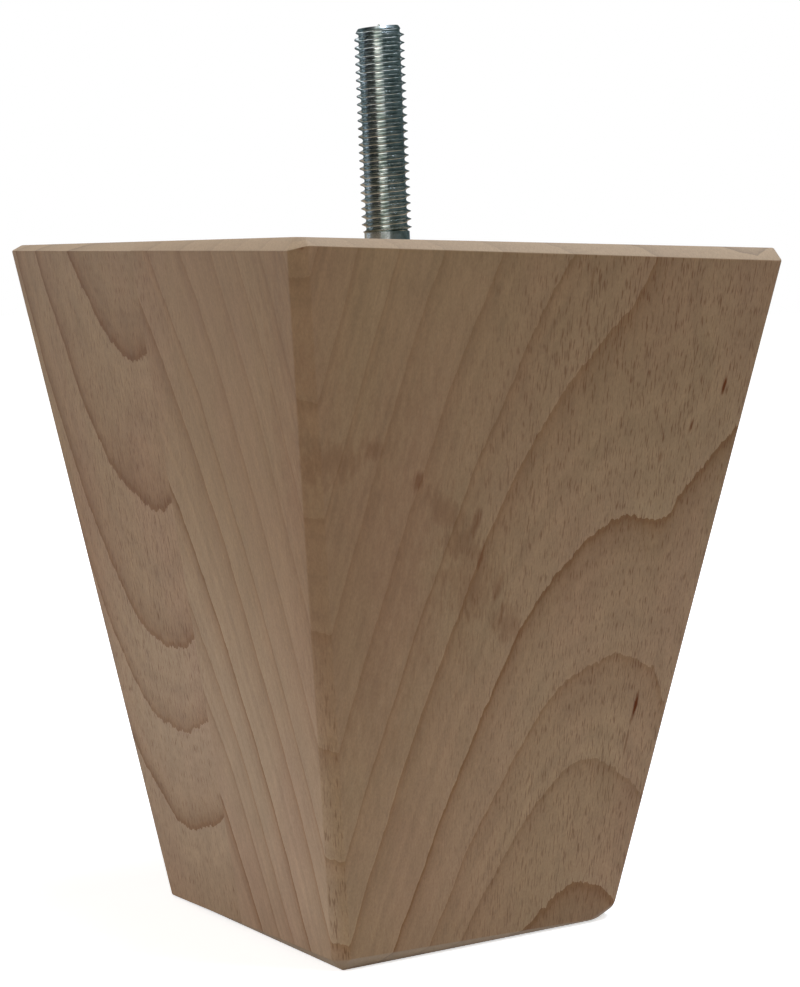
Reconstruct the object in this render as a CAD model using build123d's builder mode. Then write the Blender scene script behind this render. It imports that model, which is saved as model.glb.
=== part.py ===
from build123d import *
from math import atan2, cos, degrees, radians, sin, tan
import os

# Furniture leg: a tapered square block of beech, glued from two staves, with a steel hanger bolt
# Units are millimetres. The small end stands on z = 0 and the bolt stands up out of the large end.
# The origin is at the centre of the small end, and the glue line lies a little behind it, square to Y.

# Wooden block
leg_height = 107.0
top_width = 90.0
foot_width = 53.0
corner_chamfer = 2.0  # flat planed along each of the four sloping corners
rim_chamfer = 1.7  # around the large end
foot_chamfer = 1.3  # around the small end
glue_line_offset = 1.6  # how far behind the middle the two staves meet
worn_along = 6.0  # worn corner of the small end, at +X and -Y: its reach along the front edge,
worn_across = 4.5  # along the side edge,
worn_height = 2.6  # and up the corner

# Hanger bolt: an M8 machine thread above the wood, a plain shank, and a coarse wood thread below it
bolt_diameter = 8.0
bolt_reach = 34.0  # from the wood to the free end
bolt_end_chamfer = 1.0
shank_diameter = 7.2  # of the plain stretch between the two threads
shank_reach = 0.7  # how much of the shank shows above the wood
shank_depth = 6.0  # how much of it is sunk in the wood
wood_thread_diameter = 7.0
wood_thread_length = 26.0
wood_point_length = 7.0
wood_point_flat = 1.5  # diameter left at the blunt tip
bolt_lean = 2.2  # degrees: the bolt was driven in slightly out of true
bolt_lean_heading = 145.8  # degrees from +X, the way the free end leans
bore_mouth_diameter = 10.0  # countersink that keeps the wood from rising round the bolt
bore_mouth_angle = 45.0

# Axis of the bolt, which leaves the large end at its centre, and a plane that holds this axis as its Y
lean = radians(bolt_lean)
heading = radians(bolt_lean_heading)
bolt_axis = Vector(sin(lean) * cos(heading), sin(lean) * sin(heading), cos(lean))
across_lean = Vector(-sin(heading), cos(heading), 0)
bolt_plane = Plane(origin=(0, 0, leg_height), x_dir=across_lean, z_dir=across_lean.cross(bolt_axis))

os.makedirs("parts", exist_ok=True)

# The hanger bolt, turned about its own axis; the profile runs from the tip in the wood to the free end
bolt_radius = bolt_diameter / 2
shank_radius = shank_diameter / 2
wood_thread_radius = wood_thread_diameter / 2
thread_start = shank_reach + bolt_radius - shank_radius
point_depth = shank_depth + wood_thread_length
tip_depth = point_depth + wood_point_length

with BuildPart() as hanger_bolt:
    with BuildSketch(bolt_plane):
        with BuildLine():
            Polyline(
                (0, -tip_depth),
                (wood_point_flat / 2, -tip_depth),
                (wood_thread_radius, -point_depth),
                (wood_thread_radius, -shank_depth),
                (shank_radius, -shank_depth),
                (shank_radius, shank_reach),
                (bolt_radius, thread_start),
                (bolt_radius, bolt_reach - bolt_end_chamfer),
                (bolt_radius - bolt_end_chamfer, bolt_reach),
                (0, bolt_reach),
                close=True,
            )
        make_face()
    revolve(axis=Axis(bolt_plane.origin, bolt_plane.y_dir))

hanger_bolt.part.label = "hanger_bolt"

# Flat that the worn corner leaves, through its three reaches
worn_corner = Vector(foot_width / 2, -foot_width / 2, 0)
worn_plane = Plane(
    origin=worn_corner - Vector(worn_along, 0, 0),
    z_dir=Vector(1 / worn_along, -1 / worn_across, -1 / worn_height),
)

# The whole block, before it is parted along its glue line
side_slope = degrees(atan2((top_width - foot_width) / 2, leg_height))
bore_mouth_depth = (bore_mouth_diameter - shank_diameter) / 2 / tan(radians(bore_mouth_angle))

with BuildPart() as block:
    with BuildSketch(Plane.XY):
        Rectangle(foot_width, foot_width)
    extrude(amount=leg_height, taper=-side_slope)
    sloping_corners = block.edges().group_by(Axis.Z)[1]
    chamfer(sloping_corners, length=corner_chamfer)
    chamfer(block.faces().sort_by(Axis.Z)[-1].edges(), length=rim_chamfer)
    chamfer(block.faces().sort_by(Axis.Z)[0].edges(), length=foot_chamfer)
    split(bisect_by=worn_plane, keep=Keep.BOTTOM)
    with BuildSketch(Plane.XY.offset(leg_height)):
        Circle(bore_mouth_diameter / 2)
    extrude(amount=-bore_mouth_depth, taper=bore_mouth_angle, mode=Mode.SUBTRACT)
    add(hanger_bolt.part, mode=Mode.SUBTRACT)

glue_plane = Plane.XZ.offset(-glue_line_offset)

# The stave at the front, with the larger share of the bore for the bolt
with BuildPart() as front_stave:
    add(block.part)
    split(bisect_by=glue_plane, keep=Keep.TOP)

front_stave.part.label = "front_stave"

# The stave at the rear, with the rest of the bore
with BuildPart() as rear_stave:
    add(block.part)
    split(bisect_by=glue_plane, keep=Keep.BOTTOM)

rear_stave.part.label = "rear_stave"

export_step(hanger_bolt.part, "parts/hanger_bolt.step")
export_step(front_stave.part, "parts/front_stave.step")
export_step(rear_stave.part, "parts/rear_stave.step")
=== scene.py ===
import math

import bmesh
import bpy
from mathutils import Matrix, Vector


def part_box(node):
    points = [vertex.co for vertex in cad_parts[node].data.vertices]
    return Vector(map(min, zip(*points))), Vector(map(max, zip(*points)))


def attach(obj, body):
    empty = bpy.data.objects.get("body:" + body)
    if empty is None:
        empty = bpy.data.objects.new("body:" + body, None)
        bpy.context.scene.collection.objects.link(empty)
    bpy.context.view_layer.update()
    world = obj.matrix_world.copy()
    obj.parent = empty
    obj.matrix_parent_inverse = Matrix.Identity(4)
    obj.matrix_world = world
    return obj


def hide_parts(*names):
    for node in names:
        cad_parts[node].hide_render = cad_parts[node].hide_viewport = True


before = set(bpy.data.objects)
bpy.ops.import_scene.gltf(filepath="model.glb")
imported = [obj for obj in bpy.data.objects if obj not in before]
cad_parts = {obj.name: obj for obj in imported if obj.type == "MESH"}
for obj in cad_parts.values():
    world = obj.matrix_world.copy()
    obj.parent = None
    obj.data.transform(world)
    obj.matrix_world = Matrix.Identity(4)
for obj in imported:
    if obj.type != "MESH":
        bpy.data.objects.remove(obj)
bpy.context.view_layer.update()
mm = 0.001
hair = 0.0001 * mm  # points nearer than this to a cut are taken as on it
weld = 0.002 * mm  # points nearer than this to each other are merged
perMm = (1 / mm,) * 3  # a Mapping node's scale that turns metres to millimetres

# A sofa leg of raw beech, glued from two staves, with a zinc-plated hanger bolt in its top


# Small helpers

def srgb(hexColour):
    # an sRGB hex value turned to the linear colour that the shaders take
    channels = [int(hexColour[i:i + 2], 16) / 255 for i in (1, 3, 5)]
    linear = [c / 12.92 if c <= 0.04045 else ((c + 0.055) / 1.055) ** 2.4 for c in channels]
    return (*linear, 1.0)


def addNode(tree, kind, settings=None, links=None):
    # kind is the node's type without ShaderNode in front; settings go to the node's own properties or
    # else to its inputs, and links lead from sockets to its inputs
    node = tree.nodes.new("ShaderNode" + kind)
    for name, value in (settings or {}).items():
        if isinstance(name, str) and hasattr(node, name):
            setattr(node, name, value)
        else:
            node.inputs[name].default_value = value
    for name, socket in (links or {}).items():
        tree.links.new(socket, node.inputs[name])
    return node


def deselectAll():
    bpy.ops.object.select_all(action="DESELECT")


def activate(piece):
    deselectAll()
    piece.select_set(True)
    bpy.context.view_layer.objects.active = piece


def choose(piece, kind, test):
    # in edit mode, selects only the vertices, edges or faces that pass the test
    bpy.ops.mesh.select_mode(type={"verts": "VERT", "edges": "EDGE", "faces": "FACE"}[kind])
    bpy.ops.mesh.select_all(action="DESELECT")
    mesh = bmesh.from_edit_mesh(piece.data)
    mesh.normal_update()
    for item in getattr(mesh, kind):
        item.select_set(bool(test(item)))
    mesh.select_flush_mode()
    bmesh.update_edit_mesh(piece.data)


def applyModifier(piece, kind, **settings):
    activate(piece)
    modifier = piece.modifiers.new(kind.lower(), kind)
    for name, value in settings.items():
        setattr(modifier, name, value)
    bpy.ops.object.modifier_apply(modifier=modifier.name)


def combine(piece, other, operation):
    # a boolean with a second solid, which is then gone
    applyModifier(piece, "BOOLEAN", operation=operation, object=other, solver="EXACT")
    bpy.data.objects.remove(other)


def copyPiece(piece, name):
    twin = piece.copy()
    twin.data = piece.data.copy()
    twin.name = name
    bpy.context.scene.collection.objects.link(twin)
    return twin


def drawChain(name, points):
    # a chain of edges through (radius, height) points, made by extruding one vertex
    deselectAll()
    bpy.ops.mesh.primitive_plane_add(size=1 * mm, location=(0, 0, 0))
    piece = bpy.context.object
    piece.name = name
    bpy.ops.object.mode_set(mode="EDIT")
    bpy.ops.mesh.select_mode(type="VERT")
    bpy.ops.mesh.select_all(action="SELECT")
    bpy.ops.mesh.merge(type="CENTER")
    radius, height = points[0]
    bpy.ops.transform.translate(value=(radius, 0, height))
    for nextRadius, nextHeight in points[1:]:
        step = (nextRadius - radius, 0, nextHeight - height)
        bpy.ops.mesh.extrude_vertices_move(TRANSFORM_OT_translate={"value": step})
        radius, height = nextRadius, nextHeight
    bpy.ops.object.mode_set(mode="OBJECT")
    return piece


def turnPiece(name, points, steps):
    # a closed solid turned about Z from its half profile
    piece = drawChain(name, points)
    bpy.ops.object.mode_set(mode="EDIT")
    bpy.ops.mesh.select_all(action="SELECT")
    bpy.ops.mesh.spin(steps=steps, angle=math.tau, center=(0, 0, 0), axis=(0, 0, 1))
    bpy.ops.mesh.select_all(action="SELECT")
    bpy.ops.mesh.remove_doubles(threshold=weld)
    bpy.ops.mesh.normals_make_consistent(inside=False)
    bpy.ops.object.mode_set(mode="OBJECT")
    return piece


def cutThread(name, pitch, root, crest, rootRound, crestRound, low, high, steps, phase=0.0):
    # a solid rod with a thread between two heights: one rounded tooth swept by a screw, then cut square
    arc = [math.radians(angle) for angle in (0, 20, 40, 60)]
    rise = [(root + rootRound * (1 - math.cos(a)), rootRound * math.sin(a)) for a in arc]
    rise += [(crest - crestRound * (1 - math.cos(a)), pitch / 2 - crestRound * math.sin(a))
             for a in reversed(arc)]
    tooth = rise + [(radius, pitch - height) for radius, height in reversed(rise[:-1])]
    piece = drawChain(name, tooth)
    spareTurns = 3  # half of them below and half above, cut off again
    turns = math.ceil((high - low) / pitch) + spareTurns
    applyModifier(piece, "SCREW", axis="Z", angle=math.tau, screw_offset=pitch, iterations=turns,
                  steps=steps, render_steps=steps, use_merge_vertices=False)
    bpy.ops.object.mode_set(mode="EDIT")
    bpy.ops.mesh.select_all(action="SELECT")
    bpy.ops.transform.translate(value=(0, 0, low - (spareTurns / 2 + phase) * pitch))
    bpy.ops.mesh.remove_doubles(threshold=weld)
    bpy.ops.mesh.select_all(action="SELECT")
    bpy.ops.mesh.bisect(plane_co=(0, 0, high), plane_no=(0, 0, 1), clear_outer=True, use_fill=True,
                        threshold=hair)
    bpy.ops.mesh.select_all(action="SELECT")
    bpy.ops.mesh.bisect(plane_co=(0, 0, low), plane_no=(0, 0, -1), clear_outer=True, use_fill=True,
                        threshold=hair)
    bpy.ops.mesh.select_all(action="SELECT")
    bpy.ops.mesh.normals_make_consistent(inside=False)
    bpy.ops.object.mode_set(mode="OBJECT")
    return piece


def keepPiece(piece, name, slot, *nodes):
    piece.name = name
    piece.data.name = name
    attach(piece, "root")
    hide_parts(*nodes)


# The wooden block

block = {
    "height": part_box("front_stave")[1].z,
    "topWidth": 90 * mm,
    "footWidth": 53 * mm,
    "cornerChamfer": 2.0 * mm,
    "rimChamfer": 1.7 * mm,
    "footChamfer": 1.3 * mm,
    "arris": 0.3 * mm,  # sandpaper has taken this much off every edge
    "topDrop": 0.95 * mm,  # the top was sawn a little out of square: its +X side lies this much lower
    "tipReach": 0.6 * mm,  # the front corner of the foot ends in a point, this far out
    # how far the hand-planed chamfers run wide (+) or narrow (-), by corner sign and by face
    "rimDrift": {(-1, 1, "x"): -0.75 * mm, (-1, -1, "x"): 0.25 * mm, (-1, -1, "y"): -0.45 * mm,
                 (1, -1, "y"): 0.35 * mm, (1, -1, "x"): 0.2 * mm, (1, 1, "x"): -0.25 * mm,
                 (1, 1, "y"): 0.1 * mm, (-1, 1, "y"): -0.3 * mm},
    "footDrift": {(-1, 1, "x"): -0.8 * mm, (-1, -1, "x"): 0.4 * mm, (-1, -1, "y"): 0.7 * mm,
                  (1, -1, "y"): -0.8 * mm},
    "glueLine": 1.6 * mm,  # how far behind the middle the staves meet
    "worn": (6.0 * mm, 4.5 * mm, 2.6 * mm),  # reach of the foot's worn corner along X, Y and Z
    "wornRound": 0.8 * mm,
    "boreMouth": 10 * mm,
    "shank": 7.2 * mm,
}

# how far a side leans outwards for each unit of height
sideLean = (block["topWidth"] - block["footWidth"]) / 2 / block["height"]


def slideRing(piece, heightTest, drift, upward):
    # widens or narrows a chamfer by sliding its lower or upper ring along the sloping corners
    for (signX, signY, face), amount in drift.items():
        def atCorner(vertex):
            x, y, z = vertex.co
            onFace = abs(x) > abs(y) if face == "x" else abs(y) > abs(x)
            return heightTest(z) and x * signX > 0 and y * signY > 0 and onFace
        choose(piece, "verts", atCorner)
        rise = amount * upward
        bpy.ops.transform.translate(value=(signX * sideLean * rise, signY * sideLean * rise, rise))


def makeBlock():
    height, top, foot = block["height"], block["topWidth"], block["footWidth"]
    deselectAll()
    bpy.ops.mesh.primitive_cube_add(size=1, location=(0, 0, height / 2), scale=(top, top, height))
    piece = bpy.context.object
    bpy.ops.object.transform_apply(location=True, rotation=False, scale=True)
    bpy.ops.object.mode_set(mode="EDIT")
    choose(piece, "faces", lambda face: face.normal.z < -0.5)
    bpy.ops.transform.resize(value=(foot / top, foot / top, 1), center_override=(0, 0, 0))
    choose(piece, "edges", lambda edge: abs(edge.verts[0].co.z - edge.verts[1].co.z) > height / 2)
    bpy.ops.mesh.bevel(offset=block["cornerChamfer"], segments=1, affect="EDGES")
    drop = block["topDrop"]
    for sign in (-1, 1):
        choose(piece, "verts",
               lambda v: v.co.z > height / 2 and v.co.x > 0 and v.co.y * sign > 0)
        bpy.ops.transform.translate(value=(-sideLean * drop, -sign * sideLean * drop, -drop))
    rimBottom = height - 1.2 * drop  # all of the top lies above this, its low side too
    choose(piece, "edges", lambda edge: min(v.co.z for v in edge.verts) > rimBottom)
    bpy.ops.mesh.bevel(offset=block["rimChamfer"], segments=1, affect="EDGES")
    choose(piece, "edges", lambda edge: max(v.co.z for v in edge.verts) < 0.1 * mm)
    bpy.ops.mesh.bevel(offset=block["footChamfer"], segments=1, affect="EDGES")
    underRim, overFoot = height - 1.3 * mm, 0.5 * mm  # between the two rings of each chamfer
    slideRing(piece, lambda z: height / 2 < z < underRim, block["rimDrift"], -1)
    slideRing(piece, lambda z: overFoot < z < height / 2, block["footDrift"], 1)
    choose(piece, "verts", lambda v: v.co.z < hair and v.co.x < 0 and v.co.y < 0)
    bpy.ops.mesh.merge(type="CENTER")
    bpy.ops.transform.translate(value=(-block["tipReach"], -block["tipReach"], 0))
    wornX, wornY, wornZ = block["worn"]
    wornNormal = Vector((1 / wornX, -1 / wornY, -1 / wornZ)).normalized()
    bpy.ops.mesh.select_all(action="SELECT")
    bpy.ops.mesh.bisect(plane_co=(foot / 2 - wornX, -foot / 2, 0), plane_no=wornNormal,
                        clear_outer=True, use_fill=True, threshold=hair)
    choose(piece, "faces", lambda face: face.normal.dot(wornNormal) > 0.999)
    bpy.ops.mesh.bevel(offset=block["wornRound"], segments=3, affect="EDGES")
    bpy.ops.object.mode_set(mode="OBJECT")
    applyModifier(piece, "BEVEL", width=block["arris"], segments=2, limit_method="ANGLE",
                  angle_limit=math.radians(12))
    return piece


def makeStave(whole, name, side):
    # the block parted along the glue line; side is -1 for the front stave and 1 for the rear one
    piece = copyPiece(whole, name)
    activate(piece)
    bpy.ops.object.mode_set(mode="EDIT")
    bpy.ops.mesh.select_all(action="SELECT")
    bpy.ops.mesh.bisect(plane_co=(0, block["glueLine"], 0), plane_no=(0, -side, 0),
                        clear_outer=True, use_fill=True, threshold=hair)
    bpy.ops.object.mode_set(mode="OBJECT")
    boreTool = copyPiece(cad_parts["hanger_bolt"], "boreTool")
    boreTool.parent = None
    activate(boreTool)
    bpy.ops.object.mode_set(mode="EDIT")
    bpy.ops.mesh.select_all(action="SELECT")
    bpy.ops.mesh.remove_doubles(threshold=weld)
    bpy.ops.object.mode_set(mode="OBJECT")
    combine(piece, boreTool, "DIFFERENCE")
    mouth, shank = block["boreMouth"] / 2, block["shank"] / 2
    over = 0.2 * mm  # how far the countersink's tool stands out of the wood
    mouthProfile = [(0, shank - mouth), (shank, shank - mouth), (mouth + over, over), (0, over)]
    mouthTool = turnPiece("mouthTool", mouthProfile, steps=48)
    mouthTool.location.z = block["height"]
    combine(piece, mouthTool, "DIFFERENCE")
    activate(piece)
    bpy.ops.object.shade_smooth_by_angle(angle=math.radians(20))
    return piece


# The hanger bolt

bolt = {
    "lean": 2.2,  # degrees out of true
    "heading": 145.8,  # degrees from +X, the way it leans
    "reach": 34 * mm,
    "diameter": 7.86 * mm,
    "root": 6.47 * mm,
    "pitch": 1.25 * mm,
    "rootRound": 0.42 * mm,  # rolled threads have round roots and narrow crests
    "crestRound": 0.06 * mm,
    "phase": 0.33,  # share of a pitch by which the thread is turned
    "endChamfer": 1.5 * mm,
    "endWidth": 6.2 * mm,
    "endRound": 0.2 * mm,
    "endTilt": 4.5,  # degrees: the rod was cropped a little askew
    "burr": 0.45 * mm,  # height of the pip that the cropping left on the end
    "shankReach": 1.75 * mm,  # how far the plain shank shows before the thread begins
    "shankDepth": 6 * mm,
    "shankPlay": 0.02 * mm,  # between the shank and its bore
    "woodThread": 6.96 * mm,
    "woodRoot": 5.0 * mm,
    "woodPitch": 3.2 * mm,
    "woodRootRound": 0.9 * mm,
    "woodLength": 26 * mm,
    "point": 7 * mm,
    "pointFlat": 1.5 * mm,
}


def makeBolt():
    radius, wood, woodCore = bolt["diameter"] / 2, bolt["woodThread"] / 2, bolt["woodRoot"] / 2
    core, end, endRound = bolt["root"] / 2, bolt["endWidth"] / 2, bolt["endRound"]
    shank, sunk = block["shank"] / 2 - bolt["shankPlay"], -bolt["shankDepth"]
    reach, chamfer, start = bolt["reach"], bolt["endChamfer"], bolt["shankReach"]
    pointTop = sunk - bolt["woodLength"]
    tip = pointTop - bolt["point"]
    over = 0.02 * mm  # the threads are swept this much too wide, and their envelopes trim them
    trim = 0.01 * mm  # the envelope ends this far inside the swept thread
    step = 0.1 * mm  # no two stretches share a face: each starts this far inside the last one
    join = 0.3 * mm  # how far the stretches run into each other before they are made one
    piece = cutThread("machineThread", bolt["pitch"], core, radius + over, bolt["rootRound"],
                      bolt["crestRound"], start, reach, steps=40, phase=bolt["phase"])
    envelope = turnPiece("envelope", [(0, start - step), (shank - step, start - step),
                                      (radius, start + radius - shank), (radius, reach - chamfer),
                                      (end + endRound / 4, reach - endRound),
                                      (end - endRound * 3 / 4, reach - trim), (0, reach - trim)], steps=96)
    tilt = math.radians(bolt["endTilt"])
    activate(envelope)
    bpy.ops.object.mode_set(mode="EDIT")
    bpy.ops.mesh.select_all(action="SELECT")
    bpy.ops.mesh.bisect(plane_co=(end, 0, reach - 2 * trim), plane_no=(-math.sin(tilt), 0, math.cos(tilt)),
                        clear_outer=True, use_fill=True, threshold=hair)
    bpy.ops.object.mode_set(mode="OBJECT")
    combine(piece, envelope, "INTERSECT")
    shankPiece = turnPiece("shankPiece", [(0, sunk - join), (woodCore, sunk - join), (shank, sunk),
                                          (shank, start + step / 2), (core - step, start + join),
                                          (0, start + join)], steps=96)
    combine(piece, shankPiece, "UNION")
    woodThread = cutThread("woodThread", bolt["woodPitch"], woodCore, wood + over,
                           bolt["woodRootRound"], bolt["crestRound"], tip, sunk - step, steps=32)
    woodEnvelope = turnPiece("woodEnvelope", [(0, tip + step / 2), (bolt["pointFlat"] / 2, tip + step / 2),
                                              (wood, pointTop), (wood, 0), (0, 0)], steps=64)
    combine(woodThread, woodEnvelope, "INTERSECT")
    combine(piece, woodThread, "UNION")
    high, wide = bolt["burr"], bolt["burr"] * 0.6
    burr = turnPiece("burr", [(0, -high), (wide, -high), (wide * 0.6, high * 0.7), (0, high)], steps=12)
    burr.location.z = reach - end * math.tan(tilt)
    combine(piece, burr, "UNION")
    heading = math.radians(bolt["heading"])
    across = Vector((-math.sin(heading), math.cos(heading), 0))
    lean = Matrix.Rotation(math.radians(bolt["lean"]), 4, across)
    piece.matrix_world = Matrix.Translation((0, 0, block["height"])) @ lean
    activate(piece)
    bpy.ops.object.transform_apply(location=True, rotation=True, scale=True)
    bpy.ops.object.shade_smooth_by_angle(angle=math.radians(25))
    return piece


# Raw beech, sanded: a diffuse-porous wood, dull pinkish brown, with rings as soft darker bands that
# end sharply outwards, and short dark ray flecks where the cut runs along the rings

beech = {
    "light": "#917758",
    "dark": "#6b4829",
    "pink": "#917457",
    "fleck": "#5a3018",
    "mark": "#5a2600",
    # end colours painted pale: partly the sanded end grain's own colour, partly painted light from above on
    # the top and rims
    "endLight": "#bca284",
    "endDark": "#9a8670",
    "middle": 53.0,  # mm, height at which the pith's place is given
    # tone across one ring: share of its width, and how dark the wood is there
    "ringTone": [(0.3, 0.08), (0.65, 0.22), (0.86, 0.45), (0.94, 0.72), (0.97, 1.0)],
    "ringStart": 0.06,  # share of a ring by which its depth sets in late, to keep the line before it whole
    "meanShade": 0.22,  # how dark a ring is all over, before its own depth counts
    "jag": 0.16,  # mm, how far fibres push a ring's edge in and out
    "jagWidth": 0.9,  # mm, and twenty times that along the grain
    "drift": 1.0,  # mm, slow waviness of the rings
    "driftWidth": 14.0,  # mm, and twice that along the grain
    "fleckWidth": 0.17,  # mm between flecks across the grain
    "fleckLength": 1.7,  # mm between flecks along the grain
    "fleckDepth": 12.0,  # mm that one ray reaches towards the pith
    "fleckEdge": (0.53, 0.74),  # the noise in which a fleck fades in
    "fleckFacing": (0.86, 0.985),  # how squarely a cut faces the pith where flecks begin and are full
    "fleckDark": (0.05, 0.6),  # how dark they are at these two
    "fleckEnd": (70.0, 80.0),  # mm from the front stave's pith, over which flecks get too fine to see
    "fleckRest": 0.1,  # what is left of them there
    "lineWidth": 0.7,  # mm between the faint lines within a ring
    "lineTone": 0.05,  # how much they vary the tone, up and down
    "streakSize": (0.5, 16.0),  # streaks along the fibres: mm across and along the grain
    "streakTone": 0.05,
    "fuzzSize": (0.25, 0.5),  # the fuzz of sanding, drawn as coarse as it needs to show
    "fuzzTone": 0.07,
    "cloudSize": (3.0, 9.0),  # small clouds in the wood, a little darker or paler
    "cloudTone": 0.07,
    "patchSize": (16.0, 40.0),  # broad pinkish patches
    "patchEdge": (0.4, 0.65),  # the noise in which a patch fades in
    "noiseSpan": (0.3, 0.7),  # the range that most of a noise falls in
    # painted light: a cooler, paler patch low on the -X face, standing in for light from low on the left
    "paleTone": (1.17, 1.24, 1.41),  # a paler patch low on the -X face, by channel
    # its place and its reach in mm: thickness, width and height
    "lowLeftLightPlace": (-28.3, -4, 6),
    "lowLeftLightReach": (2, 60, 58),
    "lowLeftLightEdge": (0.3, 1.3),  # share of this reach over which it fades out
    # painted light: the foot is painted paler and greyer, standing in for cooler light from low down
    "footPaintedLight": (1.33, 1.38, 1.47),  # how much paler and greyer the foot is than the top, by channel
    # painted shade: the end that faces down onto the floor is painted darker
    "underPaintedShade": 0.72,  # the end that stands on the floor is this much darker than the top end
    "endTurn": (0.3, 0.5),  # how far a surface turns up or down where end grain begins and is full
    "markDepth": 8.0,  # mm that a mark reaches into the wood
    "markFibre": (0.625, 10 / 3),  # mm across and along the grain of the fibres that roughen its edge
    "markRough": 1.8,
    "markEdge": (1.0, 2.0),  # distance from a mark's centre, in half widths, over which it fades out
    "roughness": (0.55, 0.75),
    "bump": 0.05 * mm,
}

# pith: where the middle of the tree stood, mm, and how the tree leaned; rings: radii at which the rings
# that show on the faces end, mm, and how dark each is; flute: where the trunk bulged, x in mm and share
staves = {
    "front": {
        "pith": (17.8, 23.5), "lean": (0.032, -0.0172),
        "rings": [
            (17.5, 0.3), (24.0, 0.3), (29.6, 0.45), (36.4, 0.3), (41.0, 0.5),
            (47.4, 0.25), (52.1, 0.72), (55.2, 0.34), (57.8, 0.42), (61.1, 0.75),
            (66.2, 0.5), (69.4, 0.4), (73.7, 0.31), (78.3, 0.25), (82.4, 0.22),
        ],
        "fluteDepth": 4.85,
        "flute": [(10, 0.0), (17, 0.0), (24.5, 0.05), (28, 0.27), (33, 0.63), (38, 1.0)],
        "fluteFrom": (34, 58),  # the heights over which this bulge comes in
        "crownDepth": 3.2, "crown": (13, 26, 84, 104),  # a second bulge high up: x and height in mm
        "seed": 3.0,
        # pin knots, a bruise across the grain and one broad faint darkening towards the -X corner: x,
        # height, half width, half height in mm, slant in degrees, strength
        "marks": [
            (24.2, 35.4, 0.45, 2.6, 11, 1.0), (23.3, 30.0, 0.3, 3.0, 8, 0.5),
            (34.1, 85.2, 0.4, 2.0, 12, 0.95), (28.5, 79.2, 0.35, 1.7, 16, 0.8),
            (23.0, 74.6, 0.5, 1.3, 10, 0.4), (6.0, 101.5, 0.4, 2.5, 6, 0.35),
            (-21.4, 73.2, 1.4, 2.2, 20, 0.55), (-16.0, 68.2, 8.0, 3.0, 42, 0.3),
            (-10.3, 66.5, 0.9, 3.8, 8, 0.55), (-12.5, 63.6, 7.0, 4.0, 42, 0.3),
            (-9.0, 61.5, 0.9, 3.4, 12, 0.55), (-5.2, 56.0, 0.9, 3.4, 12, 0.5),
            (-4.0, 52.0, 0.9, 3.6, 10, 0.45), (-36.5, 76.2, 9.0, 4.6, 0, 0.3),
            (-29.5, 78.0, 3.0, 2.8, 15, 0.36), (-2.5, 50.5, 5.0, 3.4, 42, 0.28),
            (-10.5, 57.5, 8.0, 6.5, 45, 0.26), (-43.6, 105.7, 0.7, 0.6, 0, 0.8),
            (-33.0, 56.0, 27.0, 90.0, 0, 0.15),
        ],
    },
    "rear": {
        "pith": (-115.0, 9.1), "lean": (-0.0226, -0.0958),
        "rings": [
            (70.5, 0.5), (73.8, 0.74), (77.4, 0.7), (80.7, 0.68), (82.7, 0.62), (85.1, 0.72),
            (88.5, 0.6), (93.4, 0.3), (97.2, 0.5), (104.0, 0.25), (109.1, 0.4), (117.6, 0.3),
            (123.0, 0.5), (131.5, 0.25), (137.9, 0.4), (147.2, 0.3), (158.0, 0.35),
        ],
        "flute": [],
        "seed": 8.0,
        "marks": [],
    },
}


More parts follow.
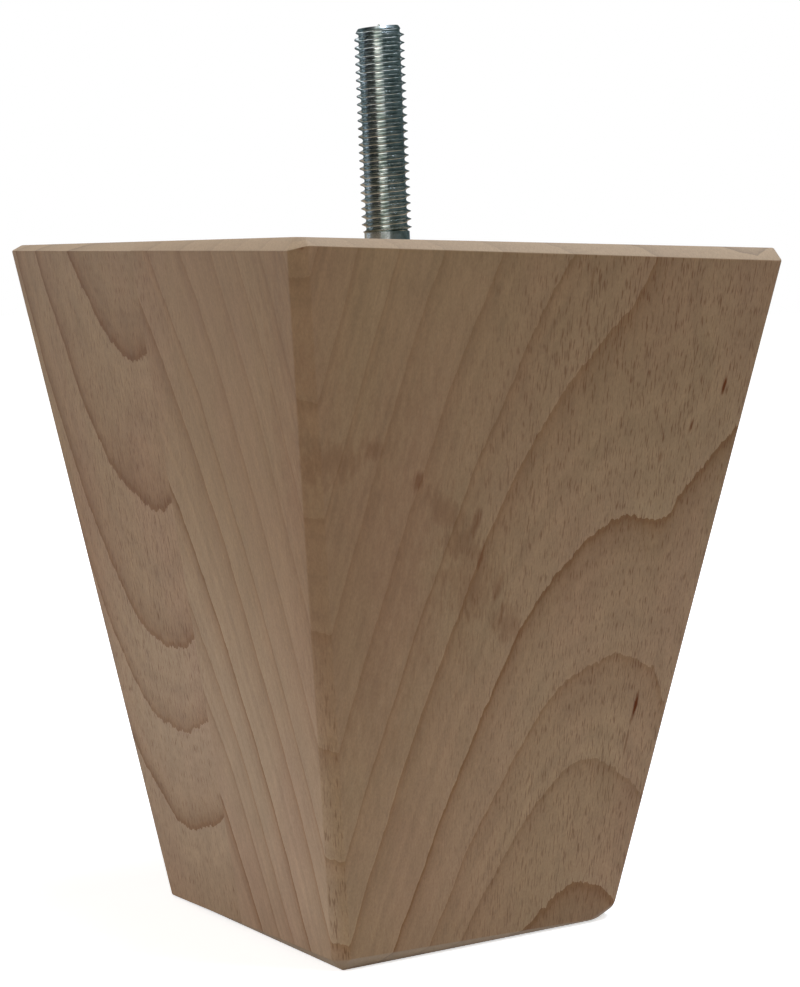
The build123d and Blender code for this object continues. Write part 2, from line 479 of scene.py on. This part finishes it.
def ringRadius(tree, placed, stave):
    # how far a point lies from the pith, in mm, with the tree's lean, slow waviness and bulges
    split = addNode(tree, "SeparateXYZ", {}, {0: placed.outputs[0]})
    across, height = split.outputs["X"], split.outputs["Z"]
    pithX = stave["pith"][0]
    leanX, leanY = stave["lean"]
    leaned = addNode(tree, "VectorMath", {"operation": "SCALE", 0: (-leanX, -leanY, 0)}, {"Scale": height})
    upright = addNode(tree, "VectorMath", {"operation": "ADD"},
                      {0: placed.outputs[0], 1: leaned.outputs[0]})
    width, seed = beech["driftWidth"], stave["seed"]
    wide = addNode(tree, "Mapping", {"Scale": (1 / width, 1 / width, 0.5 / width), "Location": (seed,) * 3},
                   {"Vector": placed.outputs[0]})
    wave = addNode(tree, "TexNoise", {"Scale": 1.0, "Detail": 2.0, "Roughness": 0.5},
                   {"Vector": wide.outputs[0]})
    centred = addNode(tree, "VectorMath", {"operation": "SUBTRACT", 1: (0.5, 0.5, 0.5)},
                      {0: wave.outputs["Color"]})
    drift = addNode(tree, "VectorMath", {"operation": "SCALE", "Scale": beech["drift"]},
                    {0: centred.outputs[0]})
    drifted = addNode(tree, "VectorMath", {"operation": "ADD"},
                      {0: upright.outputs[0], 1: drift.outputs[0]})
    flat = addNode(tree, "VectorMath", {"operation": "MULTIPLY", 1: (1, 1, 0)}, {0: drifted.outputs[0]})
    outward = addNode(tree, "VectorMath", {"operation": "NORMALIZE"}, {0: flat.outputs[0]}).outputs[0]
    radius = addNode(tree, "VectorMath", {"operation": "LENGTH"}, {0: flat.outputs[0]}).outputs["Value"]
    if not stave["flute"]:
        return radius, outward

    # the bulge's depth follows x by a curve, and comes in with height
    first, last = stave["flute"][0], stave["flute"][-1]
    share = addNode(tree, "MapRange", {"From Min": first[0] - pithX, "From Max": last[0] - pithX},
                    {"Value": across})
    bulge = addNode(tree, "FloatCurve", {}, {"Value": share.outputs[0]})
    points = bulge.mapping.curves[0].points
    points[0].location, points[1].location = (0, first[1]), (1, last[1])
    for x, amount in stave["flute"][1:-1]:
        points.new((x - first[0]) / (last[0] - first[0]), amount)
    bulge.mapping.update()
    low, high = (edge - beech["middle"] for edge in stave["fluteFrom"])
    risen = addNode(tree, "MapRange",
                    {"interpolation_type": "SMOOTHSTEP", "From Min": low, "From Max": high},
                    {"Value": height})
    fluted = addNode(tree, "Math", {"operation": "MULTIPLY"}, {0: bulge.outputs[0], 1: risen.outputs[0]})
    radius = addNode(tree, "Math", {"operation": "MULTIPLY_ADD", 1: -stave["fluteDepth"]},
                     {0: fluted.outputs[0], 2: radius}).outputs[0]

    fromX, toX, fromZ, toZ = stave["crown"]
    crownX = addNode(tree, "MapRange",
                     {"interpolation_type": "SMOOTHSTEP", "From Min": fromX - pithX,
                      "From Max": toX - pithX},
                     {"Value": across})
    crownZ = addNode(tree, "MapRange",
                     {"interpolation_type": "SMOOTHSTEP", "From Min": fromZ - beech["middle"],
                      "From Max": toZ - beech["middle"]}, {"Value": height})
    crown = addNode(tree, "Math", {"operation": "MULTIPLY"}, {0: crownX.outputs[0], 1: crownZ.outputs[0]})
    radius = addNode(tree, "Math", {"operation": "MULTIPLY_ADD", 1: -stave["crownDepth"]},
                     {0: crown.outputs[0], 2: radius}).outputs[0]
    return radius, outward


def ringShade(tree, placed, radius, stave):
    # 0 in pale early wood, rising to 1 at the thin dark line where a ring ends
    width = beech["jagWidth"]
    fibres = addNode(tree, "Mapping", {"Scale": (1 / width, 1 / width, 0.05 / width)},
                     {"Vector": placed.outputs[0]})
    noise = addNode(tree, "TexNoise", {"Scale": 1.0, "Detail": 3.0, "Roughness": 0.6},
                    {"Vector": fibres.outputs[0]})
    jag = addNode(tree, "Math", {"operation": "MULTIPLY_ADD", 1: 2 * beech["jag"], 2: -beech["jag"]},
                  {0: noise.outputs[0]})
    edge = addNode(tree, "Math", {"operation": "ADD"}, {0: radius, 1: jag.outputs[0]})

    # a curve counts the rings from their radii
    rings = [ring for ring, depth in stave["rings"]]
    first, reach, last = rings[0], rings[-1] - rings[0], len(rings) - 1
    share = addNode(tree, "MapRange", {"clamp": False, "From Min": first, "From Max": rings[-1]},
                    {"Value": edge.outputs[0]})
    curve = addNode(tree, "FloatCurve", {}, {"Value": share.outputs[0]})
    points = curve.mapping.curves[0].points
    for number, ring in enumerate(rings[1:-1], start=1):
        points.new((ring - first) / reach, number / last)
    for point in points:
        point.handle_type = "VECTOR"
    curve.mapping.extend = "EXTRAPOLATED"
    curve.mapping.update()
    count = addNode(tree, "Math", {"operation": "MULTIPLY", 1: last}, {0: curve.outputs[0]})
    within = addNode(tree, "Math", {"operation": "FRACT"}, {0: count.outputs[0]})

    # how dark each ring ends, and the tone across it
    depth = addNode(tree, "ValToRGB", {}, {"Fac": curve.outputs[0]})
    depth.color_ramp.interpolation = "CONSTANT"
    stops = depth.color_ramp.elements
    stops[0].color = (stave["rings"][1][1],) * 3 + (1,)
    stops[1].position, stops[1].color = 1.0, (stave["rings"][-1][1],) * 3 + (1,)
    for place, (ring, dark) in enumerate(stave["rings"][2:], start=1):
        stops.new((place + beech["ringStart"]) / last).color = (dark, dark, dark, 1)
    tone = addNode(tree, "ValToRGB", {}, {"Fac": within.outputs[0]})
    stops = tone.color_ramp.elements
    stops[0].color = (0, 0, 0, 1)
    endPlace, endDark = beech["ringTone"][-1]
    stops[1].position, stops[1].color = endPlace, (endDark, endDark, endDark, 1)
    for place, dark in beech["ringTone"][:-1]:
        stops.new(place).color = (dark, dark, dark, 1)
    above = addNode(tree, "Math", {"operation": "SUBTRACT", 1: beech["meanShade"]},
                    {0: tone.outputs["Color"]})
    return addNode(tree, "Math", {"operation": "MULTIPLY_ADD", 2: beech["meanShade"]},
                   {0: above.outputs[0], 1: depth.outputs["Color"]}).outputs[0]


def rayFlecks(tree, placed, radius, outward, normal, stave):
    # rays are thin upright plates that point at the pith, so a cut along the rings shows them as dashes
    split = addNode(tree, "SeparateXYZ", {}, {0: placed.outputs[0]})
    angle = addNode(tree, "Math", {"operation": "ARCTAN2"}, {0: split.outputs["Y"], 1: split.outputs["X"]})
    meanRing = stave["rings"][len(stave["rings"]) // 2][0]
    around = addNode(tree, "Math", {"operation": "MULTIPLY", 1: meanRing / beech["fleckWidth"]},
                     {0: angle.outputs[0]})
    along = addNode(tree, "Math", {"operation": "MULTIPLY", 1: 1 / beech["fleckLength"]},
                    {0: split.outputs["Z"]})
    deep = addNode(tree, "Math", {"operation": "MULTIPLY", 1: 1 / beech["fleckDepth"]}, {0: radius})
    place = addNode(tree, "CombineXYZ", {}, {0: around.outputs[0], 1: deep.outputs[0], 2: along.outputs[0]})
    noise = addNode(tree, "TexNoise", {"Scale": 1.0, "Detail": 1.0, "Roughness": 0.4},
                    {"Vector": place.outputs[0]})
    low, high = beech["fleckEdge"]
    dash = addNode(tree, "MapRange",
                   {"interpolation_type": "SMOOTHSTEP", "From Min": low, "From Max": high},
                   {"Value": noise.outputs[0]})
    facing = addNode(tree, "VectorMath", {"operation": "DOT_PRODUCT"}, {0: normal, 1: outward})
    square = addNode(tree, "Math", {"operation": "ABSOLUTE"}, {0: facing.outputs["Value"]})
    low, high = beech["fleckFacing"]
    faint, dark = beech["fleckDark"]
    shown = addNode(tree, "MapRange", {"From Min": low, "From Max": high, "To Min": faint, "To Max": dark},
                    {"Value": square.outputs[0]})
    fleck = addNode(tree, "Math", {"operation": "MULTIPLY"}, {0: dash.outputs[0], 1: shown.outputs[0]})
    if stave["flute"]:
        near, far = beech["fleckEnd"]
        fading = addNode(tree, "MapRange", {"From Min": near, "From Max": far, "To Min": 1.0,
                                            "To Max": beech["fleckRest"]}, {"Value": radius})
        fleck = addNode(tree, "Math", {"operation": "MULTIPLY"},
                        {0: fleck.outputs[0], 1: fading.outputs[0]})
    return fleck.outputs[0]


def faceMarks(tree, inMm, stave):
    # soft oval marks that lie just under the outer face, their edges roughened by the fibres
    width, length = beech["markFibre"]
    fibrePlace = addNode(tree, "Mapping", {"Scale": (1 / width, 1 / width, 1 / length)},
                         {"Vector": inMm.outputs[0]})
    wobble = addNode(tree, "TexNoise", {"Scale": 1.0, "Detail": 3.0}, {"Vector": fibrePlace.outputs[0]})
    near, far = beech["markEdge"]
    total = None
    for x, height, halfWidth, halfHeight, slant, strength in stave["marks"]:
        y = -(block["footWidth"] / 2 / mm + sideLean * height)
        sized = addNode(tree, "Mapping",
                        {"vector_type": "TEXTURE", "Location": (x, y, height),
                         "Rotation": (0, math.radians(slant), 0),
                         "Scale": (halfWidth, beech["markDepth"], halfHeight)}, {"Vector": inMm.outputs[0]})
        away = addNode(tree, "VectorMath", {"operation": "LENGTH"}, {0: sized.outputs[0]})
        rough = addNode(tree, "Math", {"operation": "MULTIPLY_ADD", 1: beech["markRough"]},
                        {0: wobble.outputs[0], 2: away.outputs["Value"]})
        spot = addNode(tree, "MapRange", {"interpolation_type": "SMOOTHSTEP", "From Min": near,
                                          "From Max": far, "To Min": strength, "To Max": 0.0},
                       {"Value": rough.outputs[0]}).outputs[0]
        if total is not None:
            spot = addNode(tree, "Math", {"operation": "MAXIMUM"}, {0: total, 1: spot}).outputs[0]
        total = spot
    return total


def beechMaterial(name, side):
    stave = staves[side]
    seed = stave["seed"]
    material = bpy.data.materials.new(name)
    material.use_nodes = True
    tree = material.node_tree
    tree.nodes.clear()
    coord = addNode(tree, "TexCoord").outputs["Object"]
    normal = addNode(tree, "NewGeometry").outputs["Normal"]
    pithX, pithY = stave["pith"]
    placed = addNode(tree, "Mapping", {"Scale": perMm, "Location": (-pithX, -pithY, -beech["middle"])},
                     {"Vector": coord})
    inMm = addNode(tree, "Mapping", {"Scale": perMm}, {"Vector": coord})
    radius, outward = ringRadius(tree, placed, stave)
    shade = ringShade(tree, placed, radius, stave)
    fleck = rayFlecks(tree, placed, radius, outward, normal, stave)

    # broad pinkish patches, small clouds, fine streaks along the fibres, and the fuzz of sanding
    noises = {}
    for pattern, detail, roughness, shift in (("patch", 3.0, 0.5, (seed, 0, 0)),
                                              ("cloud", 4.0, 0.6, (0, seed, 0)),
                                              ("streak", 4.0, 0.65, (0, 0, 0)),
                                              ("fuzz", 2.0, 0.5, (0, 0, 0))):
        width, length = beech[pattern + "Size"]
        sized = addNode(tree, "Mapping", {"Scale": (1 / width, 1 / width, 1 / length), "Location": shift},
                        {"Vector": placed.outputs[0]})
        noises[pattern] = addNode(tree, "TexNoise",
                                  {"Scale": 1.0, "Detail": detail, "Roughness": roughness},
                                  {"Vector": sized.outputs[0]})
    noises["line"] = addNode(tree, "TexNoise", {"noise_dimensions": "1D", "Scale": 1 / beech["lineWidth"],
                                                "Detail": 2.0}, {"W": radius})
    low, high = beech["noiseSpan"]
    tones = {}
    for pattern in ("streak", "fuzz", "line", "cloud"):
        change = beech[pattern + "Tone"]
        tones[pattern] = addNode(tree, "MapRange", {"From Min": low, "From Max": high, "To Min": 1 - change,
                                                    "To Max": 1 + change},
                                 {"Value": noises[pattern].outputs[0]})
    fineTone = tones["streak"]
    for pattern in ("fuzz", "line", "cloud"):
        fineTone = addNode(tree, "Math", {"operation": "MULTIPLY"},
                           {0: fineTone.outputs[0], 1: tones[pattern].outputs[0]})

    # painted light: paler and greyer towards the foot, and more so in one patch low along the -X face,
    # standing in for cooler light from low down
    height = addNode(tree, "SeparateXYZ", {}, {0: coord}).outputs["Z"]
    footLightShare = addNode(tree, "MapRange", {"From Max": block["height"], "To Min": 1.0, "To Max": 0.0},
                        {"Value": height})
    footPaintedLight = addNode(tree, "Mix", {"data_type": "RGBA", 6: (1, 1, 1, 1), 7: (*beech["footPaintedLight"], 1)},
                       {0: footLightShare.outputs[0]})
    lowLeftLightPlace = addNode(tree, "Mapping",
                        {"vector_type": "TEXTURE", "Location": beech["lowLeftLightPlace"],
                         "Rotation": (0, -math.atan(sideLean), 0), "Scale": beech["lowLeftLightReach"]},
                        {"Vector": inMm.outputs[0]})
    lowLeftLightAway = addNode(tree, "VectorMath", {"operation": "LENGTH"}, {0: lowLeftLightPlace.outputs[0]})
    near, far = beech["lowLeftLightEdge"]
    lowLeftLightShare = addNode(tree, "MapRange", {"interpolation_type": "SMOOTHSTEP", "From Min": near,
                                           "From Max": far, "To Min": 1.0, "To Max": 0.0},
                        {"Value": lowLeftLightAway.outputs["Value"]})
    paleTone = addNode(tree, "Mix", {"data_type": "RGBA", 6: (1, 1, 1, 1), 7: (*beech["paleTone"], 1)},
                       {0: lowLeftLightShare.outputs[0]})

    # the colour of the sides, from the ground up
    low, high = beech["patchEdge"]
    patchShare = addNode(tree, "MapRange", {"From Min": low, "From Max": high},
                         {"Value": noises["patch"].outputs[0]})
    ground = addNode(tree, "Mix", {"data_type": "RGBA", 6: srgb(beech["light"]), 7: srgb(beech["pink"])},
                     {0: patchShare.outputs[0]})
    ringed = addNode(tree, "Mix", {"data_type": "RGBA", 7: srgb(beech["dark"])},
                     {0: shade, 6: ground.outputs[2]})
    toned = addNode(tree, "VectorMath", {"operation": "MULTIPLY"},
                    {0: ringed.outputs[2], 1: footPaintedLight.outputs[2]})
    paled = addNode(tree, "VectorMath", {"operation": "MULTIPLY"},
                    {0: toned.outputs[0], 1: paleTone.outputs[2]})
    streaked = addNode(tree, "VectorMath", {"operation": "SCALE"},
                       {0: paled.outputs[0], "Scale": fineTone.outputs[0]})
    flecked = addNode(tree, "Mix", {"data_type": "RGBA", 7: srgb(beech["fleck"])},
                      {0: fleck, 6: streaked.outputs[0]})
    sideColour = flecked.outputs[2]
    if stave["marks"]:
        sideColour = addNode(tree, "Mix", {"data_type": "RGBA", 7: srgb(beech["mark"])},
                             {0: faceMarks(tree, inMm, stave), 6: sideColour}).outputs[2]

    # cut across the grain the wood is matt and paler, partly its own end-grain colour and partly painted
    # light from above on the top and rims, and darker again on the end that stands on the floor, which is
    # painted shade
    endColourAndLight = addNode(tree, "Mix",
                        {"data_type": "RGBA", 6: srgb(beech["endLight"]), 7: srgb(beech["endDark"])},
                        {0: shade})
    endFuzzy = addNode(tree, "VectorMath", {"operation": "SCALE"},
                       {0: endColourAndLight.outputs[2], "Scale": tones["fuzz"].outputs[0]})
    begins, full = beech["endTurn"]
    rise = addNode(tree, "SeparateXYZ", {}, {0: normal}).outputs["Z"]
    # painted shade: darker where the surface faces down
    under = addNode(tree, "MapRange", {"From Min": -begins, "From Max": 0.0, "To Min": beech["underPaintedShade"],
                                       "To Max": 1.0}, {"Value": rise})
    endWithPaintedShade = addNode(tree, "VectorMath", {"operation": "SCALE"},
                       {0: endFuzzy.outputs[0], "Scale": under.outputs[0]})
    turned = addNode(tree, "Math", {"operation": "ABSOLUTE"}, {0: rise})
    endShare = addNode(tree, "MapRange", {"From Min": begins, "From Max": full},
                       {"Value": turned.outputs[0]})
    colour = addNode(tree, "Mix", {"data_type": "RGBA"},
                     {0: endShare.outputs[0], 6: sideColour, 7: endWithPaintedShade.outputs[0]})

    # fibres stand up a little, and flecks lie a little lower
    relief = addNode(tree, "Math", {"operation": "SUBTRACT"}, {0: noises["streak"].outputs[0], 1: fleck})
    bump = addNode(tree, "Bump", {"Strength": 0.5, "Distance": beech["bump"]},
                   {"Height": relief.outputs[0]})
    low, high = beech["roughness"]
    rough = addNode(tree, "MapRange", {"To Min": low, "To Max": high},
                    {"Value": noises["streak"].outputs[0]})
    shader = addNode(tree, "BsdfPrincipled", {"Specular IOR Level": 0.1},
                     {"Base Color": colour.outputs[2], "Roughness": rough.outputs[0],
                      "Normal": bump.outputs[0]})
    addNode(tree, "OutputMaterial", {}, {"Surface": shader.outputs[0]})
    return material


# Bright zinc plate on rolled steel: a cool grey metal, faintly green, shiny and here and there duller

zinc = {
    "light": "#dde3e1",
    "dark": "#98a5a1",
    "patch": 1.5,  # mm across one duller patch
    "patchEdge": (0.35, 0.65),  # the noise in which it fades in
    "roughness": (0.12, 0.28),
    "bump": 0.02 * mm,
}


def zincMaterial(name):
    material = bpy.data.materials.new(name)
    material.use_nodes = True
    tree = material.node_tree
    tree.nodes.clear()
    coord = addNode(tree, "TexCoord")
    scale = 1 / (zinc["patch"] * mm)
    placed = addNode(tree, "Mapping", {"Scale": (scale,) * 3}, {"Vector": coord.outputs["Object"]})
    cloud = addNode(tree, "TexNoise", {"Scale": 1.0, "Detail": 4.0, "Roughness": 0.6},
                    {"Vector": placed.outputs[0]})
    low, high = zinc["patchEdge"]
    share = addNode(tree, "MapRange", {"From Min": low, "From Max": high}, {"Value": cloud.outputs[0]})
    colour = addNode(tree, "Mix", {"data_type": "RGBA", 6: srgb(zinc["light"]), 7: srgb(zinc["dark"])},
                     {0: share.outputs[0]})
    low, high = zinc["roughness"]
    rough = addNode(tree, "MapRange", {"To Min": low, "To Max": high}, {"Value": cloud.outputs[0]})
    bump = addNode(tree, "Bump", {"Strength": 0.3, "Distance": zinc["bump"]}, {"Height": cloud.outputs[0]})
    shader = addNode(tree, "BsdfPrincipled", {"Metallic": 1.0},
                     {"Base Color": colour.outputs[2], "Roughness": rough.outputs[0],
                      "Normal": bump.outputs[0]})
    addNode(tree, "OutputMaterial", {}, {"Surface": shader.outputs[0]})
    return material


# The studio

studio = {
    "aim": (5.1 * mm, 4.1 * mm, 66.7 * mm),
    "azimuth": -34.25,
    "elevation": 5.37,
    "roll": 0.1,
    "distance": 372.2 * mm,
    "lens": 83.55,
    "floorSize": 12.0,
    "white": "#ffffff",
    "floorGlow": 0.66,  # what the floor adds near the object, so that it is white and keeps the shadow
    "shadowReach": (0.16, 0.6),  # beyond this stretch of radius, m, the floor is plain white
    "ambient": 0.22,
    "ambientColour": "#dedcd2",
    # azimuth and elevation in degrees as for the camera, distance, width, height, power and colour
    "lamps": {
        "key": (-62, 34, 1.3, 1.0, 0.8, 3.5, "#fff0dc"),
        "top": (44, 68, 1.0, 0.6, 0.6, 9.7, "#dbe8ff"),
        "left": (-146, 8, 1.4, 0.5, 0.8, 11.0, "#dfe9ff"),
    },
    # dark cards that only the metal mirrors: each from one azimuth to another, its height and colour
    "cardRadius": 0.3,
    "cards": [(-136, -66, 0.8, "#0e1211"), (-66, -20, 0.116, "#0e1211"), (-20, 224, 0.8, "#525f5c")],
    "matt": 0.9,  # roughness of the floor and the cards
}


def awayFrom(azimuth, elevation):
    # a unit vector towards a camera or lamp at that azimuth and elevation; azimuth 0 looks along +Y
    a, e = math.radians(azimuth), math.radians(elevation)
    return Vector((math.sin(a) * math.cos(e), -math.cos(a) * math.cos(e), math.sin(e)))


def makeCamera():
    way = awayFrom(studio["azimuth"], studio["elevation"])
    data = bpy.data.cameras.new("photoCamera")
    data.lens = studio["lens"]
    data.clip_start = 0.01
    camera = bpy.data.objects.new("photoCamera", data)
    bpy.context.scene.collection.objects.link(camera)
    turn = (-way).to_track_quat("-Z", "Y").to_matrix().to_4x4()
    roll = Matrix.Rotation(math.radians(-studio["roll"]), 4, "Z")
    camera.matrix_world = Matrix.Translation(Vector(studio["aim"]) + way * studio["distance"]) @ turn @ roll
    bpy.context.scene.camera = camera


def makeLamps():
    middle = Vector((0, 0, block["height"] / 2))
    for name, (azimuth, elevation, distance, width, height, power, colour) in studio["lamps"].items():
        data = bpy.data.lights.new(name + "Lamp", "AREA")
        data.shape = "RECTANGLE"
        data.size = width
        data.size_y = height
        data.energy = power
        data.color = srgb(colour)[:3]
        lamp = bpy.data.objects.new(name + "Lamp", data)
        bpy.context.scene.collection.objects.link(lamp)
        way = awayFrom(azimuth, elevation)
        turn = way.to_track_quat("Z", "Y").to_matrix().to_4x4()
        lamp.matrix_world = Matrix.Translation(middle + way * distance) @ turn


def seenShare(tree):
    # 1 for the rays that look straight at a surface, or see it mirrored or through glass
    path = addNode(tree, "LightPath")
    either = addNode(tree, "Math", {"operation": "MAXIMUM"},
                     {0: path.outputs["Is Camera Ray"], 1: path.outputs["Is Glossy Ray"]})
    return addNode(tree, "Math", {"operation": "MAXIMUM"},
                   {0: either.outputs[0], 1: path.outputs["Is Transmission Ray"]}).outputs[0]


def makeFloor():
    deselectAll()
    bpy.ops.mesh.primitive_circle_add(vertices=96, radius=studio["floorSize"] / 2, fill_type="NGON",
                                      location=(0, 0, 0))
    floor = bpy.context.object
    floor.name = "floor"
    bpy.ops.object.transform_apply(location=True, rotation=True, scale=True)
    material = bpy.data.materials.new("paperFloor")
    material.use_nodes = True
    tree = material.node_tree
    tree.nodes.clear()
    seen = seenShare(tree)
    coord = addNode(tree, "TexCoord")
    away = addNode(tree, "VectorMath", {"operation": "LENGTH"}, {0: coord.outputs["Object"]})
    near, far = studio["shadowReach"]
    strength = addNode(tree, "MapRange",
                       {"interpolation_type": "SMOOTHSTEP", "From Min": near, "From Max": far,
                        "To Min": studio["floorGlow"], "To Max": 1.0}, {"Value": away.outputs["Value"]})
    glow = addNode(tree, "Math", {"operation": "MULTIPLY"}, {0: seen, 1: strength.outputs[0]})
    shader = addNode(tree, "BsdfPrincipled",
                     {"Base Color": srgb(studio["white"]), "Roughness": studio["matt"],
                      "Specular IOR Level": 0.0,
                      "Emission Color": srgb(studio["white"])}, {"Emission Strength": glow.outputs[0]})
    addNode(tree, "OutputMaterial", {}, {"Surface": shader.outputs[0]})
    floor.data.materials.append(material)


def makeWorld():
    world = bpy.data.worlds.new("studioWorld")
    bpy.context.scene.world = world
    world.use_nodes = True
    tree = world.node_tree
    tree.nodes.clear()
    seen = seenShare(tree)
    dim = addNode(tree, "Background", {"Color": srgb(studio["ambientColour"]),
                                       "Strength": studio["ambient"]})
    white = addNode(tree, "Background", {"Color": srgb(studio["white"]), "Strength": 1.0})
    mixed = addNode(tree, "MixShader", {}, {0: seen, 1: dim.outputs[0], 2: white.outputs[0]})
    addNode(tree, "OutputWorld", {}, {"Surface": mixed.outputs[0]})
    bpy.context.scene.view_settings.view_transform = "Standard"


def makeCards():
    for number, (low, high, height, colour) in enumerate(studio["cards"]):
        material = bpy.data.materials.new("darkCard")
        material.use_nodes = True
        shader = material.node_tree.nodes["Principled BSDF"]
        shader.inputs["Base Color"].default_value = srgb(colour)
        shader.inputs["Roughness"].default_value = studio["matt"]
        deselectAll()
        bpy.ops.mesh.primitive_plane_add(size=0.01, location=(0, 0, 0))
        card = bpy.context.object
        card.name = "darkCard" + str(number)
        bpy.ops.object.mode_set(mode="EDIT")
        bpy.ops.mesh.select_mode(type="VERT")
        bpy.ops.mesh.select_all(action="SELECT")
        bpy.ops.mesh.merge(type="CENTER")
        bpy.ops.transform.translate(value=awayFrom(high, 0) * studio["cardRadius"])
        bpy.ops.mesh.extrude_vertices_move(TRANSFORM_OT_translate={"value": (0, 0, height)})
        bpy.ops.mesh.select_all(action="SELECT")
        bpy.ops.mesh.spin(steps=24, angle=math.radians(high - low), center=(0, 0, 0), axis=(0, 0, 1))
        bpy.ops.object.mode_set(mode="OBJECT")
        card.data.materials.append(material)
        card.visible_camera = False
        card.visible_diffuse = False
        card.visible_shadow = False


makeCamera()
makeLamps()
makeFloor()
makeCards()
makeWorld()
print("studio ready")

whole = makeBlock()
frontStave = makeStave(whole, "frontStave", -1)
rearStave = makeStave(whole, "rearStave", 1)
bpy.data.objects.remove(whole)
frontStave.data.materials.clear()
rearStave.data.materials.clear()
frontStave.data.materials.append(beechMaterial("rawBeechFront", "front"))
rearStave.data.materials.append(beechMaterial("rawBeechRear", "rear"))
keepPiece(frontStave, "stave_front", "raw_wood", "front_stave")
keepPiece(rearStave, "stave_rear", "raw_wood", "rear_stave")
print("staves made:", len(frontStave.data.polygons), len(rearStave.data.polygons), "faces")

hangerBolt = makeBolt()
hangerBolt.data.materials.clear()
hangerBolt.data.materials.append(zincMaterial("zincPlatedSteel"))
keepPiece(hangerBolt, "bolt_threaded", "zinc_plated_steel", "hanger_bolt")
print("bolt made:", len(hangerBolt.data.polygons), "faces")
